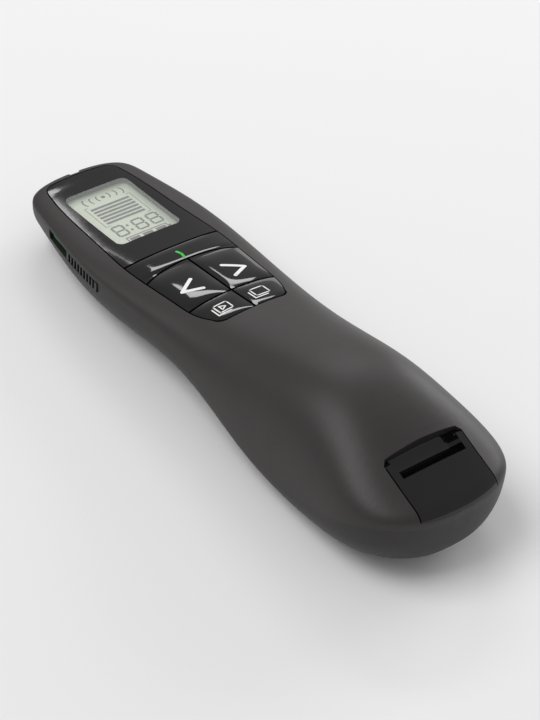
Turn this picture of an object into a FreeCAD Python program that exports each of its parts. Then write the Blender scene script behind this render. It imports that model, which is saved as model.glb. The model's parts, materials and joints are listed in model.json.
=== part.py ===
import FreeCAD, Part

# Wireless presentation clicker: the parametric model of every piece, in millimetres.
# Axes: +Y runs from the tail to the nose, +X is the right-hand side, +Z is up.
# The origin lies under the middle of the body, on the surface that it rests on.
import math
import os
import Sketcher

from FreeCAD import Placement, Rotation, Vector

X_AXIS = Vector(1, 0, 0)
Y_AXIS = Vector(0, 1, 0)
Z_AXIS = Vector(0, 0, 1)

# Driving sizes, in millimetres or degrees. Each one is a cell of the sheet.
SIZES = {
    "body_length": 129.3,
    "wall": 1.8,
    "rim_room": 0.7,
    "skin_power_top": 2.5,
    "skin_power_bottom": 2.61,
    "tail_round": 19.93,
    "tail_power": 2.5,
    "nose_round": 6.37,
    "nose_power": 2.82,
    "seam_gap": 0.3,
    # fascia, display and keys
    "fascia_thick": 1.3,
    "fascia_rear": 28.45,
    "key_thick": 1.7,
    "key_gap": 0.5,
    "key_rim_gap": 0.3,
    "key_edge": 0.3,
    "key_travel": 0.6,
    "key_post_side": 2.6,
    "window_half_width": 8.0,
    "window_rear": 35.2,
    "window_front": 56.6,
    "window_corner": 1.6,
    "lens_thick": 1.0,
    "lens_gap": 0.06,
    "glass_width": 18.0,
    "glass_length": 24.0,
    "glass_thick": 1.1,
    "tray_thick": 0.5,
    "display_tilt": 4.6,
    "connector_width": 1.4,
    # circuit board and switches
    "board_top": 9.0,
    "board_thick": 1.0,
    "board_half_width": 10.0,
    "board_rear": -1.6,
    "board_front": 45.6,
    "board_tab_reach": 12.7,
    "switch_side": 5.0,
    "switch_high": 2.6,
    "plunger_radius": 1.15,
    "plunger_high": 1.6,
    "plunger_stand": 0.9,
    "fit_gap": 0.05,
    "frame_thick": 0.6,
    "frame_leg": 1.6,
    # power slider, on the left side
    "slot_length": 21.2,
    "slot_high": 2.4,
    "slot_middle": 40.8,
    "slot_height": 10.5,
    "slot_depth": 1.3,
    "slider_length": 12.9,
    "slider_thick": 1.15,
    "slider_gap": 0.12,
    "slider_travel": 7.4,
    "rib_pitch": 1.3,
    "rib_width": 0.45,
    "power_switch_length": 10.0,
    "power_switch_width": 2.9,
    "power_switch_high": 0.8,
    "lever_side": 0.9,
    # timer keys, on the right side
    "side_key_length": 4.2,
    "side_key_high": 2.2,
    "side_key_pitch": 5.0,
    "side_key_middle": 36.4,
    "side_key_height": 6.5,
    "side_key_proud": 0.45,
    "side_key_travel": 0.5,
    "side_key_gap": 0.15,
    # laser module
    "laser_radius": 2.4,
    "laser_length": 11.0,
    "laser_height": 6.9,
    "laser_rear": 48.0,
    "laser_lens_radius": 1.5,
    "aperture_radius": 1.7,
    # vibration motor
    "motor_radius": 2.0,
    "motor_length": 8.0,
    "motor_shaft_radius": 0.4,
    "weight_radius": 1.75,
    "weight_length": 2.6,
    # batteries and their door
    "cell_radius": 5.25,
    "cell_length": 43.5,
    "cell_nub_radius": 1.9,
    "cell_nub": 1.0,
    "cell_spacing": 11.0,
    "cell_axis_height": 10.3,
    "cell_bay_rear": -54.1,
    "cell_bay_length": 46.7,
    "contact_thick": 0.3,
    "door_half_width": 12.4,
    "door_rear": -54.2,
    "door_front": -7.3,
    "cell_wall": 1.2,
    # stored receiver
    "receiver_half_width": 9.2,
    "receiver_bottom": 17.15,
    "receiver_thick": 4.6,
    "receiver_front": -29.5,
    "receiver_gap": 0.25,
    "bay_floor": 0.95,
    "bay_wall": 1.2,
    "recess_front": -50.3,
    "pit_radius": 3.2,
    "pit_place": -52.6,
    "pit_height": 22.9,
    "plug_width": 12.0,
    "plug_high": 4.5,
    "plug_length": 14.6,
    "plug_sheet": 0.3,
    # screws
    "screw_radius": 0.85,
    "screw_head_radius": 1.35,
    "screw_head": 1.3,
    "screw_length": 4.6,
    "boss_radius": 1.75,
    "boss_split": 9.3,
    "head_seat": 7.4,
}

# The body's shape at eight stations: place along Y, half width, top, parting line, underside.
STATIONS = (
    (-50.0, 18.90, 23.89, 12.20, 0.53),
    (-35.0, 18.01, 27.93, 7.31, -0.25),
    (-20.0, 17.54, 25.27, 6.99, 2.04),
    (-5.0, 16.52, 21.20, 10.30, 3.55),
    (10.0, 16.13, 18.47, 12.46, 2.88),
    (25.0, 16.81, 16.40, 12.32, 0.60),
    (40.0, 16.39, 14.39, 12.24, -0.25),
    (55.0, 14.10, 13.12, 11.47, 1.97),
)

# Half width of the opening for the fascia and keys, along Y.
OPENING = ((1.9, 9.15), (5.5, 10.5), (11.5, 11.1), (20.0, 11.65), (28.4, 11.95), (36.0, 11.5),
           (46.0, 10.9), (55.0, 10.2), (60.6, 9.2))

# Poles around each cross-section, and the factor that makes up for their curve lying inside them
RING = 32
SWELL = 1.006

doc = FreeCAD.newDocument("presentation_clicker")
sheet = doc.addObject("Spreadsheet::Sheet", "sizes")
for row, (alias, value) in enumerate(SIZES.items(), start=1):
    sheet.set("A%d" % row, alias)
    sheet.set("B%d" % row, str(value))
    sheet.setAlias("B%d" % row, alias)
doc.recompute()


def size(alias):
    """One driving size, read from the sheet."""
    return float(sheet.get(alias))


def bind(item, prop, expression):
    """Bind a property of an object to an expression over the sheet's aliases."""
    for alias in sorted(SIZES, key=len, reverse=True):
        expression = expression.replace("{" + alias + "}", "sizes." + alias)
    item.setExpression(prop, expression)


# Smooth curves through the stations
def natural_spline(knots, values):
    """Return a function for the natural cubic spline through the points."""
    count = len(knots)
    bends = [0.0] * count
    upper = [0.0] * count
    for k in range(1, count - 1):
        before = knots[k] - knots[k - 1]
        after = knots[k + 1] - knots[k]
        slope_change = (values[k + 1] - values[k]) / after - (values[k] - values[k - 1]) / before
        pivot = 2 * (before + after) - before * upper[k - 1]
        upper[k] = after / pivot
        bends[k] = (6 * slope_change - before * bends[k - 1]) / pivot
    for k in range(count - 2, 0, -1):
        bends[k] -= upper[k] * bends[k + 1]

    def curve(place):
        k = 0
        while k < count - 2 and place > knots[k + 1]:
            k += 1
        span = knots[k + 1] - knots[k]
        ahead = (knots[k + 1] - place) / span
        behind = (place - knots[k]) / span
        bend = (ahead ** 3 - ahead) * bends[k] + (behind ** 3 - behind) * bends[k + 1]
        return ahead * values[k] + behind * values[k + 1] + bend * span * span / 6

    return curve


KNOTS = [station[0] for station in STATIONS]
HALF_WIDTH = natural_spline(KNOTS, [station[1] for station in STATIONS])
TOP = natural_spline(KNOTS, [station[2] for station in STATIONS])
PARTING = natural_spline(KNOTS, [station[3] for station in STATIONS])
UNDERSIDE = natural_spline(KNOTS, [station[4] for station in STATIONS])
OPENING_WIDTH = natural_spline([p[0] for p in OPENING], [p[1] for p in OPENING])


def held(place):
    """Keep a place within the range that the stations cover."""
    return max(-60.0, min(60.0, place))


def parting_height(place):
    """Height of the seam between the two shells."""
    return min(PARTING(held(place)), size("receiver_bottom") - size("bay_floor") - 0.6)


def top_height(place, inset=0.0):
    """Height of the outer skin over the middle, sunk by the inset."""
    return TOP(held(place)) - inset


def section(place, inset, least_above):
    """The poles of one closed cross-section of the body, drawn in by the inset."""
    tail = -size("body_length") / 2 + inset
    nose = size("body_length") / 2 - inset
    into_tail = min(max((tail + size("tail_round") - place) / size("tail_round"), 0), 1)
    into_nose = min(max((place - nose + size("nose_round")) / size("nose_round"), 0), 1)
    cap = (1 - into_tail ** size("tail_power")) ** (1 / size("tail_power"))
    cap *= (1 - into_nose ** size("nose_power")) ** (1 / size("nose_power"))
    along = held(place)
    half = (HALF_WIDTH(along) - inset) * cap
    above = max(TOP(along) - PARTING(along) - inset, least_above) * cap ** 0.6
    below = (PARTING(along) - UNDERSIDE(along) - inset) * cap ** 0.6
    middle = PARTING(along)
    points = []
    for k in range(RING):
        turn = 2 * math.pi * k / RING
        rise = above if math.sin(turn) > 0 else below
        power = size("skin_power_top") if math.sin(turn) > 0 else size("skin_power_bottom")
        reach = math.copysign(abs(math.cos(turn)) ** (2 / power), math.cos(turn))
        lift = math.copysign(abs(math.sin(turn)) ** (2 / power), math.sin(turn))
        points.append(Vector(half * reach * SWELL, place, middle + rise * lift * SWELL))
    return points


def form(name, inset, least_above=0.0):
    """The closed solid of the body, drawn in by the inset on every side, with a least height above the seam."""
    tail = -size("body_length") / 2 + inset
    nose = size("body_length") / 2 - inset
    tail_steps = [0.998, 0.99, 0.97, 0.93, 0.86, 0.76, 0.62, 0.44, 0.22]
    nose_steps = [0.2, 0.5, 0.72, 0.86, 0.95, 0.99, 0.998]
    places = [tail + size("tail_round") * (1 - step) for step in tail_steps]
    start = tail + size("tail_round")
    stop = nose - size("nose_round")
    places += [start + (stop - start) * k / 16 for k in range(17)]
    places += [stop + size("nose_round") * step for step in nose_steps]
    poles = [section(place, inset, least_above) for place in places]
    along = len(poles)
    surface = Part.BSplineSurface()
    surface.buildFromPolesMultsKnots(
        poles, [4] + [1] * (along - 4) + [4], [1] * (RING + 1),
        [k for k in range(along - 2)], [k for k in range(RING + 1)], False, True, 3, 3)
    side = surface.toShape()
    ends = [Part.Face(Part.Wire([edge])) for edge in side.Edges if edge.isClosed()]
    shell = Part.Shell([side] + ends)
    shell.sewShape()
    solid = Part.Solid(shell)
    if solid.Volume < 0:
        solid.reverse()
    item = doc.addObject("Part::Feature", name)
    item.Shape = solid
    return item


# Small builders. A size is given as an expression over the sheet, with its aliases in braces.
def named(kind, name):
    """Add an object of the kind to the document."""
    return doc.addObject(kind, name)


def box(name, length, width, height, centre, turn=None):
    """A block bound to three expressions, centred on a point."""
    item = named("Part::Box", name)
    bind(item, "Length", length)
    bind(item, "Width", width)
    bind(item, "Height", height)
    doc.recompute()
    half = Vector(item.Length.Value / 2, item.Width.Value / 2, item.Height.Value / 2)
    rotation = turn or Rotation()
    item.Placement = Placement(Vector(*centre) - rotation.multVec(half), rotation)
    return item


def block(name, low, high):
    """A working block between two corners."""
    spans = [str(round(high[k] - low[k], 5)) for k in range(3)]
    centre = [(high[k] + low[k]) / 2 for k in range(3)]
    return box(name, spans[0], spans[1], spans[2], centre)


def rod(name, radius, length, start, direction=Z_AXIS):
    """A cylinder bound to two expressions, from its start point along a direction."""
    item = named("Part::Cylinder", name)
    bind(item, "Radius", radius)
    bind(item, "Height", length)
    item.Placement = Placement(Vector(*start), Rotation(Z_AXIS, direction))
    return item


def prism(name, points, low, high):
    """An upright prism between two heights, over a closed outline of (x, y) points."""
    item = named("Part::Feature", name)
    corners = [Vector(x, y, low) for x, y in points]
    item.Shape = Part.Face(Part.makePolygon(corners + corners[:1])).extrude(Vector(0, 0, high - low))
    return item


def curved_prism(name, runs, low, high):
    """An upright prism whose outline is made of runs of points, each one a smooth curve."""
    item = named("Part::Feature", name)
    edges = []
    for run in runs:
        points = [Vector(x, y, low) for x, y in run]
        if len(points) == 2:
            edges.append(Part.LineSegment(points[0], points[1]).toShape())
        else:
            curve = Part.BSplineCurve()
            curve.interpolate(points)
            edges.append(curve.toShape())
    wire = Part.Wire(Part.__sortEdges__(edges))
    item.Shape = Part.Face(wire).extrude(Vector(0, 0, high - low))
    return item


def side_prism(name, points, left, right):
    """A prism across the body between two places on X, over an outline of (y, z) points."""
    item = named("Part::Feature", name)
    corners = [Vector(left, y, z) for y, z in points]
    item.Shape = Part.Face(Part.makePolygon(corners + corners[:1])).extrude(Vector(right - left, 0, 0))
    return item


def cut(name, base, tool):
    """The base less the tool."""
    item = named("Part::Cut", name)
    item.Base = base
    item.Tool = tool
    return item


def fuse(name, items):
    """The union of the items."""
    item = named("Part::MultiFuse", name)
    item.Shapes = items
    return item


def common(name, items):
    """The space that the items share."""
    item = named("Part::MultiCommon", name)
    item.Shapes = items
    return item


def group(name, items):
    """Separate solids held as one node."""
    item = named("Part::Compound", name)
    item.Links = items
    return item


def plane_of(body, role):
    """One origin plane of a body."""
    return next(f for f in body.Origin.OriginFeatures if f.Role == role)


def rectangle_body(name, width, depth, height, corner=None):
    """A body padded up from a centred rectangle, with its upright corners rounded."""
    body = named("PartDesign::Body", name)
    sketch = body.newObject("Sketcher::SketchObject", name + "_sketch")
    sketch.AttachmentSupport = [(plane_of(body, "XY_Plane"), "")]
    sketch.MapMode = "FlatFace"
    corners = [Vector(-1, -1, 0), Vector(1, -1, 0), Vector(1, 1, 0), Vector(-1, 1, 0)]
    for k in range(4):
        sketch.addGeometry(Part.LineSegment(corners[k], corners[(k + 1) % 4]), False)
    for k in range(4):
        sketch.addConstraint(Sketcher.Constraint("Coincident", k, 2, (k + 1) % 4, 1))
    for k in (0, 2):
        sketch.addConstraint(Sketcher.Constraint("Horizontal", k))
    for k in (1, 3):
        sketch.addConstraint(Sketcher.Constraint("Vertical", k))
    sketch.addConstraint(Sketcher.Constraint("Symmetric", 0, 1, 2, 1, -1, 1))
    across = sketch.addConstraint(Sketcher.Constraint("DistanceX", 0, 1, 0, 2, 2.0))
    along = sketch.addConstraint(Sketcher.Constraint("DistanceY", 1, 1, 1, 2, 2.0))
    bind(sketch, "Constraints[%d]" % across, width)
    bind(sketch, "Constraints[%d]" % along, depth)
    pad = body.newObject("PartDesign::Pad", name + "_pad")
    pad.Profile = sketch
    bind(pad, "Length", height)
    doc.recompute()
    if corner:
        rounds = body.newObject("PartDesign::Fillet", name + "_corners")
        upright = ["Edge%d" % (k + 1) for k, edge in enumerate(pad.Shape.Edges)
                   if abs(edge.tangentAt(edge.FirstParameter).z) > 0.99]
        rounds.Base = (pad, upright)
        bind(rounds, "Radius", corner)
        doc.recompute()
    return body


def turned_body(name, profile):
    """A body revolved about its own Z axis from (radius, height) points."""
    body = named("PartDesign::Body", name)
    sketch = body.newObject("Sketcher::SketchObject", name + "_sketch")
    sketch.AttachmentSupport = [(plane_of(body, "XZ_Plane"), "")]
    sketch.MapMode = "FlatFace"
    count = len(profile)
    for k in range(count):
        start = Vector(profile[k][0], profile[k][1], 0)
        stop = Vector(profile[(k + 1) % count][0], profile[(k + 1) % count][1], 0)
        sketch.addGeometry(Part.LineSegment(start, stop), False)
    for k in range(count):
        sketch.addConstraint(Sketcher.Constraint("Coincident", k, 2, (k + 1) % count, 1))
    turn = body.newObject("PartDesign::Revolution", name + "_turn")
    turn.Profile = sketch
    turn.ReferenceAxis = (sketch, ["V_Axis"])
    turn.Angle = 360
    doc.recompute()
    return body


def place(item, point, rotation=None):
    """Put an object's own origin at a point, turned as given."""
    item.Placement = Placement(Vector(*point), rotation or Rotation())
    return item


# The body's solid and the spaces inside it
outer = form("outer_form", 0.0)
inner = form("inner_form", size("wall"), size("rim_room"))
key_inner = form("key_inner_form", size("key_thick"))
fascia_inner = form("fascia_inner_form", size("fascia_thick"))
lens_inner = form("lens_inner_form", size("lens_thick"))

REACH = 30.0
seam_places = [-66 + 4 * k for k in range(34)]
seam = [(y, parting_height(y)) for y in seam_places]


def seam_block(name, top):
    """Everything above or below the parting surface."""
    item = named("Part::Feature", name)
    curve = Part.BSplineCurve()
    curve.interpolate([Vector(-REACH, y, z) for y, z in seam])
    edge_height = REACH * 1.5 if top else -REACH
    first = Vector(-REACH, seam[0][0], seam[0][1])
    last = Vector(-REACH, seam[-1][0], seam[-1][1])
    far_last = Vector(-REACH, seam[-1][0], edge_height)
    far_first = Vector(-REACH, seam[0][0], edge_height)
    edges = [curve.toShape()]
    edges.append(Part.LineSegment(last, far_last).toShape())
    edges.append(Part.LineSegment(far_last, far_first).toShape())
    edges.append(Part.LineSegment(far_first, first).toShape())
    item.Shape = Part.Face(Part.Wire(edges)).extrude(Vector(2 * REACH, 0, 0))
    return item


above_seam = seam_block("above_seam", True)
below_seam = seam_block("below_seam", False)


# Outline of the opening for the fascia and the keys
def opening_runs(inset):
    """The opening's outline, drawn in by the inset, as runs of points."""
    places = [1.9, 5.5, 11.5, 20.0, 28.4, 36.0, 46.0, 55.0, 60.4]
    right = [(OPENING_WIDTH(y) - inset, y) for y in places]
    first_x, first_y = right[0]
    last_x, last_y = right[-1]
    rear_y = -0.3 + inset
    front_y = 63.1 - inset
    corner = [(last_x, last_y), (last_x - 0.7, last_y + 1.4), (last_x - 2.2, front_y - 0.35)]
    front = [corner[-1], (0, front_y), (-corner[-1][0], corner[-1][1])]
    rear_corner = [(first_x - 2.6, rear_y), (first_x - 0.7, rear_y + 0.75), (first_x, first_y)]
    rear = [(-rear_corner[0][0], rear_y), (rear_corner[0][0], rear_y)]
    mirrored = [[(-x, y) for x, y in run] for run in (right, corner, rear_corner)]
    return [right, corner, front, rear, rear_corner] + mirrored


opening = curved_prism("opening", opening_runs(0.0), 9.0, 40.0)
trim = curved_prism("opening_trim", opening_runs(size("key_rim_gap")), 9.0, 40.0)

nodes = {}

# Fascia and keys: pieces of the outer skin inside the opening
MIDDLE_LINE = 0.0
gap = size("key_gap")
laser_front = size("fascia_rear") - gap
arc = [(-13.5, 19.85), (-7.0, 21.9), (0.0, 22.6), (7.0, 21.9), (13.5, 19.85)]
rear_line = [(-13.5, 7.1), (0.0, 7.75), (13.5, 7.1)]


def shifted(points, step):
    """The points moved along Y."""
    return [(x, y + step) for x, y in points]


def band(name, rear, front, left, right):
    """The region between two curves across the opening, between two places on X."""
    low = [(x, y) for x, y in rear]
    high = [(x, y) for x, y in front]
    whole = curved_prism(name + "_band", [low, [low[-1], high[-1]], high, [high[0], low[0]]], 8.0, 40.0)
    side = block(name + "_side", (left, -8.0, 8.0), (right, 70.0, 40.0))
    return common(name, [whole, side])


key_skin = cut("key_skin", outer, key_inner)
fascia_skin = cut("fascia_skin", outer, fascia_inner)
lens_skin = cut("lens_skin", outer, lens_inner)

regions = {
    "laser_key": (shifted(arc, gap / 2), [(-13.5, laser_front), (13.5, laser_front)], -14.0, 14.0),
    "previous_key": (shifted(rear_line, gap / 2), shifted(arc, -gap / 2), -14.0, -gap / 2),
    "next_key": (shifted(rear_line, gap / 2), shifted(arc, -gap / 2), gap / 2, 14.0),
    "slideshow_key": ([(-13.5, -2.0), (13.5, -2.0)], shifted(rear_line, -gap / 2), -14.0, -gap / 2),
    "blank_screen_key": ([(-13.5, -2.0), (13.5, -2.0)], shifted(rear_line, -gap / 2), gap / 2, 14.0),
}
posts = {
    "laser_key": (0.0, 25.1),
    "previous_key": (-5.6, 14.4),
    "next_key": (5.6, 14.4),
    "slideshow_key": (-5.4, 3.9),
    "blank_screen_key": (5.4, 3.9),
}
switch_top = size("board_top") + size("switch_high")
plunger_top = switch_top + size("plunger_stand")
post_space = cut("post_space", outer, seam_block("post_floor", False))
for key, (rear, front, left, right) in regions.items():
    region = band(key + "_region", rear, front, left, right)
    skin = common(key + "_skin", [key_skin, trim, region])
    post_x, post_y = posts[key]
    post = box(key + "_post", "{key_post_side}", "{key_post_side}", "20",
               (post_x, post_y, plunger_top + 10))
    held_post = common(key + "_held_post", [post, outer])
    nodes[key] = fuse(key, [skin, held_post])

fascia_low = 11.75
fascia_region = block("fascia_region", (-14.0, size("fascia_rear"), fascia_low), (14.0, 66.0, 40.0))
fascia_plate = common("fascia_plate", [fascia_skin, trim, fascia_region])
window_width = "2 * {window_half_width}"
window_middle = (size("window_rear") + size("window_front")) / 2
window = rectangle_body("window", window_width, "{window_front} - {window_rear}", "30", "{window_corner}")
place(window, (0, window_middle, 8.0))
nodes["fascia_panel"] = cut("fascia_panel", fascia_plate, window)
pane = rectangle_body("pane", window_width + " - 2 * {lens_gap}",
                      "{window_front} - {window_rear} - 2 * {lens_gap}", "30", "{window_corner}")
place(pane, (0, window_middle, 8.0))
nodes["display_lens"] = common("display_lens", [lens_skin, pane])

# Display: glass and tray, leaning with the fascia
lean = Rotation(X_AXIS, -size("display_tilt"))
glass_y = window_middle
glass_z = top_height(glass_y, size("fascia_thick")) - 0.35 - size("glass_thick") / 2
glass_centre = Vector(0, glass_y, glass_z)
down = lean.multVec(Z_AXIS)
nodes["display_glass"] = box("display_glass", "{glass_width}", "{glass_length}", "{glass_thick}",
                             tuple(glass_centre), lean)
tray_centre = glass_centre - down * (size("glass_thick") + size("tray_thick")) / 2
nodes["display_tray"] = box("display_tray", "{glass_width} + 0.8", "{glass_length} - 3.0",
                            "{tray_thick}", tuple(tray_centre + lean.multVec(Vector(0, 1.5, 0))), lean)
strip_y = glass_y - size("glass_length") / 2 + 1.4
strip_top = glass_z + math.tan(math.radians(size("display_tilt"))) * (glass_y - strip_y)
strip_top -= size("glass_thick") / 2 / math.cos(math.radians(size("display_tilt"))) + 0.06
nodes["display_connector"] = box("display_connector", "{glass_width} - 1.0", "{connector_width}",
                                 "%s - {board_top}" % round(strip_top, 4),
                                 (0, strip_y, (strip_top + size("board_top")) / 2))

# Circuit board with its side tabs, and the key switches on it
board_middle = (size("board_front") + size("board_rear")) / 2
board_main = rectangle_body("board_main", "2 * {board_half_width}", "{board_front} - {board_rear}",
                            "{board_thick}", "1.0")
place(board_main, (0, board_middle, size("board_top") - size("board_thick")))
board_tabs = rectangle_body("board_tabs", "2 * {board_tab_reach}", "15.6", "{board_thick}", "0.8")
place(board_tabs, (0, 36.8, size("board_top") - size("board_thick")))
nodes["circuit_board"] = fuse("circuit_board", [board_main, board_tabs])

switch_cases = []
for key, (post_x, post_y) in posts.items():
    case = box(key + "_switch_case", "{switch_side}", "{switch_side}", "{switch_high}",
               (post_x, post_y, size("board_top") + size("switch_high") / 2))
    well = rod(key + "_switch_well", "{plunger_radius} + {fit_gap}", "3.0",
               (post_x, post_y, switch_top - size("plunger_high") + size("plunger_stand")
                - size("key_travel") - 0.1))
    switch_cases.append(cut(key + "_switch", case, well))
    plunger_name = key.replace("_key", "_plunger")
    nodes[plunger_name] = rod(plunger_name, "{plunger_radius}", "{plunger_high}",
                              (post_x, post_y, plunger_top - size("plunger_high")))
nodes["key_switches"] = group("key_switches", switch_cases)

# Key frame: a plate over the board with a hole for each post, on four legs
frame_low = plunger_top + 0.1
frame_rear = 0.6
frame_front = 26.8
plate = rectangle_body("frame_plate", "18.6", "%s" % (frame_front - frame_rear), "{frame_thick}", "1.5")
place(plate, (0, (frame_front + frame_rear) / 2, frame_low))
legs = []
for x in (-8.4, 8.4):
    for y in (9.2, 20.4):
        leg_high = frame_low - size("board_top") + 0.3
        legs.append(box("frame_leg", "{frame_leg}", "{frame_leg}", "%s" % round(leg_high, 4),
                        (x, y, size("board_top") + leg_high / 2)))
holes = []
for key, (post_x, post_y) in posts.items():
    holes.append(box(key + "_frame_hole", "{key_post_side} + 0.3", "{key_post_side} + 0.3", "6.0",
                     (post_x, post_y, frame_low)))
frame_solid = fuse("frame_solid", [plate] + legs)
frame_holes = fuse("frame_holes", holes)
nodes["key_frame"] = cut("key_frame", frame_solid, frame_holes)


def skin_half(place, height):
    """Half width of the outer skin at a place along Y and a height, clear of the rounded ends."""
    above = height > PARTING(place)
    edge = TOP(place) if above else UNDERSIDE(place)
    power = size("skin_power_top") if above else size("skin_power_bottom")
    part = abs(height - PARTING(place)) / abs(edge - PARTING(place))
    return HALF_WIDTH(place) * (1 - part ** power) ** (1 / power)


# Battery cells, contacts and springs
along_y = Rotation(Z_AXIS, Y_AXIS)
against_y = Rotation(Z_AXIS, Y_AXIS * -1)
cell_x = size("cell_spacing") / 2
cell_z = size("cell_axis_height")
bay_rear = size("cell_bay_rear")
bay_front = bay_rear + size("cell_bay_length")
cell_whole = size("cell_length") + size("cell_nub")
cell_profile = [(0, 0), (size("cell_radius"), 0), (size("cell_radius"), size("cell_length")),
                (size("cell_nub_radius"), size("cell_length")), (size("cell_nub_radius"), cell_whole),
                (0, cell_whole)]
cell_left = place(turned_body("cell_left", cell_profile), (-cell_x, bay_front - cell_whole, cell_z), along_y)
cell_right = place(turned_body("cell_right", cell_profile), (cell_x, bay_rear + cell_whole, cell_z), against_y)
nodes["batteries"] = group("batteries", [cell_left, cell_right])

contact = size("contact_thick")
rear_contact = box("rear_contact", "19.0", "{contact_thick}", "6.4", (0, bay_rear - contact / 2, cell_z))
front_contacts = []
for x in (-cell_x, cell_x):
    front_contacts.append(box("front_contact", "7.0", "{contact_thick}", "6.4",
                              (x, bay_front + contact / 2, cell_z)))
nodes["battery_contacts"] = group("battery_contacts", [rear_contact] + front_contacts)

spring_reach = size("cell_bay_length") - cell_whole


def leaf(name, x, wall_y, tip_y):
    """A bent leaf spring between a wall and the end of a cell."""
    way = math.copysign(contact, tip_y - wall_y)
    points = [(wall_y, cell_z - 2.8), (tip_y, cell_z - 0.6), (tip_y, cell_z + 0.6), (wall_y, cell_z + 2.8),
              (wall_y, cell_z + 2.2), (tip_y - way, cell_z + 0.4), (tip_y - way, cell_z - 0.4),
              (wall_y, cell_z - 2.2)]
    return side_prism(name, points, x - 1.8, x + 1.8)


nodes["battery_springs"] = group("battery_springs", [
    leaf("spring_left", -cell_x, bay_rear, bay_rear + spring_reach),
    leaf("spring_right", cell_x, bay_front, bay_front - spring_reach)])

# Battery door: a piece of the bottom skin with two ribs that cradle the cells
shell_skin = cut("shell_skin", outer, inner)
bottom_skin = common("bottom_skin", [shell_skin, below_seam])


def door_prism(name, grow):
    """The door's outline as an upright prism, grown all round."""
    half = size("door_half_width") + grow
    rear = size("door_rear") - grow
    front = size("door_front") + grow
    clip = 2.4
    points = [(half, rear + clip), (half, front - clip), (half - clip, front), (-half + clip, front),
              (-half, front - clip), (-half, rear + clip), (-half + clip, rear), (half - clip, rear)]
    return prism(name, points, -6.0, 9.0)


door_skin = common("door_skin", [bottom_skin, door_prism("door_region", 0.0)])
cradles = []
for y in (-42.2, -20.2):
    cradles.append(block("cradle_rib", (-9.5, y - 0.8, -1.0), (9.5, y + 0.8, cell_z - 2.2)))
cell_spaces = [rod("cell_space", "{cell_radius} + {fit_gap}", "{cell_bay_length}", (x, bay_rear, cell_z), Y_AXIS)
               for x in (-cell_x, cell_x)]
cradle_blank = common("cradle_blank", [fuse("cradle_ribs", cradles), outer])
door_blank = fuse("door_blank", [door_skin, cradle_blank])
flat = block("rest_flat", (-30.0, -70.0, -3.0), (30.0, 70.0, 0.0))
nodes["battery_door"] = cut("battery_door", door_blank, fuse("door_cuts", cell_spaces + [flat]))

# Laser module and vibration motor
laser_z = size("laser_height")
laser_front_y = size("laser_rear") + size("laser_length")
barrel = rod("barrel", "{laser_radius}", "{laser_length}", (0, size("laser_rear"), laser_z), Y_AXIS)
bore = rod("bore", "{laser_lens_radius}", "2.0", (0, laser_front_y - 2.0, laser_z), Y_AXIS)
nodes["laser_barrel"] = cut("laser_barrel", barrel, bore)
nodes["laser_lens"] = rod("laser_lens", "{laser_lens_radius}", "0.9", (0, laser_front_y - 1.6, laser_z), Y_AXIS)
window_rear = size("body_length") / 2 - size("wall") - 0.2
nodes["laser_window"] = rod("laser_window", "{aperture_radius}", "1.0", (0, window_rear, laser_z), Y_AXIS)

motor_x = -6.0
motor_z = 5.9
motor_rear = 19.0
motor_front = motor_rear + size("motor_length")
shaft_in = 3.0
motor_profile = [(0, 0), (size("motor_radius"), 0), (size("motor_radius"), size("motor_length")),
                 (size("motor_shaft_radius") + size("fit_gap"), size("motor_length")),
                 (size("motor_shaft_radius") + size("fit_gap"), size("motor_length") - shaft_in - 0.1),
                 (0, size("motor_length") - shaft_in - 0.1)]
nodes["vibration_motor"] = place(turned_body("vibration_motor", motor_profile),
                                 (motor_x, motor_rear, motor_z), along_y)
nodes["motor_shaft"] = rod("motor_shaft", "{motor_shaft_radius}", "%s + {weight_length} + 0.6" % shaft_in,
                           (motor_x, motor_front - shaft_in, motor_z), Y_AXIS)
weight_disc = rod("weight_disc", "{weight_radius}", "{weight_length}",
                  (motor_x, motor_front + 0.4, motor_z), Y_AXIS)
weight_hub = rod("weight_hub", "0.9", "{weight_length}", (motor_x, motor_front + 0.4, motor_z), Y_AXIS)
weight_half = block("weight_half", (motor_x - 3, motor_front, motor_z - 3), (motor_x + 3, motor_front + 9, motor_z))
weight_blank = fuse("weight_blank", [common("weight_lower", [weight_disc, weight_half]), weight_hub])
weight_bore = rod("weight_bore", "{motor_shaft_radius}", "9.0", (motor_x, motor_front, motor_z), Y_AXIS)
nodes["motor_weight"] = cut("motor_weight", weight_blank, weight_bore)

# Power slider in its slot on the left side, in a frame that follows the skin
slot_y = size("slot_middle")
slot_z = size("slot_height")
run_x = (skin_half(slot_y - 9, slot_z) - skin_half(slot_y + 9, slot_z)) / 18
along_slot = Vector(run_x, 1, -0.03).normalize()
into_body = Vector(1, -run_x, 0).normalize()
slot_turn = Rotation(into_body, along_slot, into_body.cross(along_slot), "XYZ")
slot_origin = Vector(-skin_half(slot_y, slot_z) + 0.15, slot_y, slot_z)


def slot_point(depth, along, height):
    """A point of the slot's frame in the body's frame."""
    return tuple(slot_origin + slot_turn.multVec(Vector(depth, along, height)))


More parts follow.
